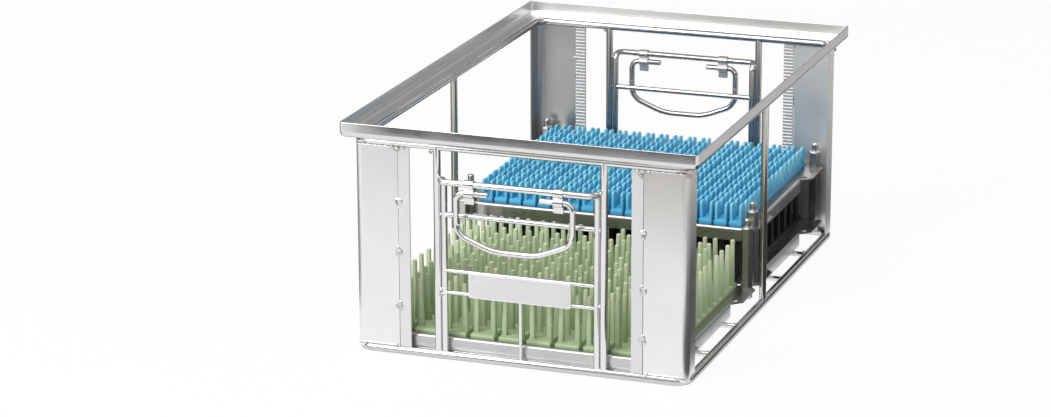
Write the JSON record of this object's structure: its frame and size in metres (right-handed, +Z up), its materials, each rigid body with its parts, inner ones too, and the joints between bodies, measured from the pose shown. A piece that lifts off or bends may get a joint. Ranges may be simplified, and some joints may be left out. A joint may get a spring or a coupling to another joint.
{
  "type": "instrument tray carrier",
  "caption": "Stackable stainless wire carrier for surgical instruments, with a folded rim, drop handles and lift-out trays that hold coloured silicone finger mats.",
  "frame": {"origin": "on the floor under the middle of the carrier, at the bottom of the bottom ring", "axes": "+X to the right along the short front end, +Y along the length from the labelled front end to the back, +Z up"},
  "size_m": [0.4, 0.6103, 0.258],
  "materials": {
    "wire_steel": "electropolished bright",
    "sheet_steel": "bright satin sheet",
    "tray_steel": "satin sheet",
    "stand_off_steel": "machined bright",
    "green_silicone": "pale green, soft matt",
    "blue_silicone": "sky blue, soft matt",
    "black_silicone": "black, soft matt",
    "white_card": "plain white"
  },
  "bodies": {
    "carrier": {"stacking_rim": "sheet_steel", "top_ring": "wire_steel", "bottom_ring": "wire_steel", "corner_post_front_left": "sheet_steel", "corner_post_front_right": "sheet_steel", "corner_post_back_left": "sheet_steel", "corner_post_back_right": "sheet_steel", "rack_strip_front_left": "sheet_steel", "rack_strip_front_right": "sheet_steel", "rack_strip_back_left": "sheet_steel", "rack_strip_back_right": "sheet_steel", "grille_upright_front_left": "wire_steel", "grille_upright_front_right": "wire_steel", "grille_upright_back_left": "wire_steel", "grille_upright_back_right": "wire_steel", "handle_frame_front": "wire_steel", "handle_frame_back": "wire_steel", "cross_rod_front": "wire_steel", "cross_rod_back": "wire_steel", "handle_clips_front": "sheet_steel", "handle_clips_back": "sheet_steel", "side_upright_left": "wire_steel", "side_upright_right": "wire_steel", "label_rod_top": "wire_steel", "label_rod_bottom": "wire_steel", "label_drop_wire": "wire_steel", "label_plate": "sheet_steel", "label_card": "white_card", "support_rods": "wire_steel"},
    "front_drop_handle": {"drop_handle_front": "wire_steel"},
    "back_drop_handle": {"drop_handle_back": "wire_steel"},
    "front_tray_set": {"front_tray": "tray_steel", "front_tray_stand_offs": "stand_off_steel", "green_finger_mat": "green_silicone"},
    "rear_tray_set": {"rear_tray": "tray_steel", "rear_tray_stand_offs": "stand_off_steel", "black_finger_mat": "black_silicone"},
    "upper_tray_set": {"upper_tray": "tray_steel", "upper_tray_stand_offs": "stand_off_steel", "blue_finger_mat": "blue_silicone"}
  },
  "joints": [
    {"name": "front_handle_swing", "type": "hinge", "parent": "carrier", "child": "front_drop_handle", "pos_m": [0, -0.3002, 0.193], "axis": [-1, 0, 0], "range_deg": [-15, 135]},
    {"name": "back_handle_swing", "type": "hinge", "parent": "carrier", "child": "back_drop_handle", "pos_m": [0, 0.3002, 0.193], "axis": [1, 0, 0], "range_deg": [-15, 135]},
    {"name": "front_tray_lift", "type": "slide", "parent": "carrier", "child": "front_tray_set", "axis": [0, 0, 1], "range_m": [0, 0.26]},
    {"name": "rear_tray_lift", "type": "slide", "parent": "carrier", "child": "rear_tray_set", "axis": [0, 0, 1], "range_m": [0, 0.26]},
    {"name": "upper_tray_lift", "type": "slide", "parent": "rear_tray_set", "child": "upper_tray_set", "axis": [0, 0, 1], "range_m": [0, 0.2]}
  ]
}
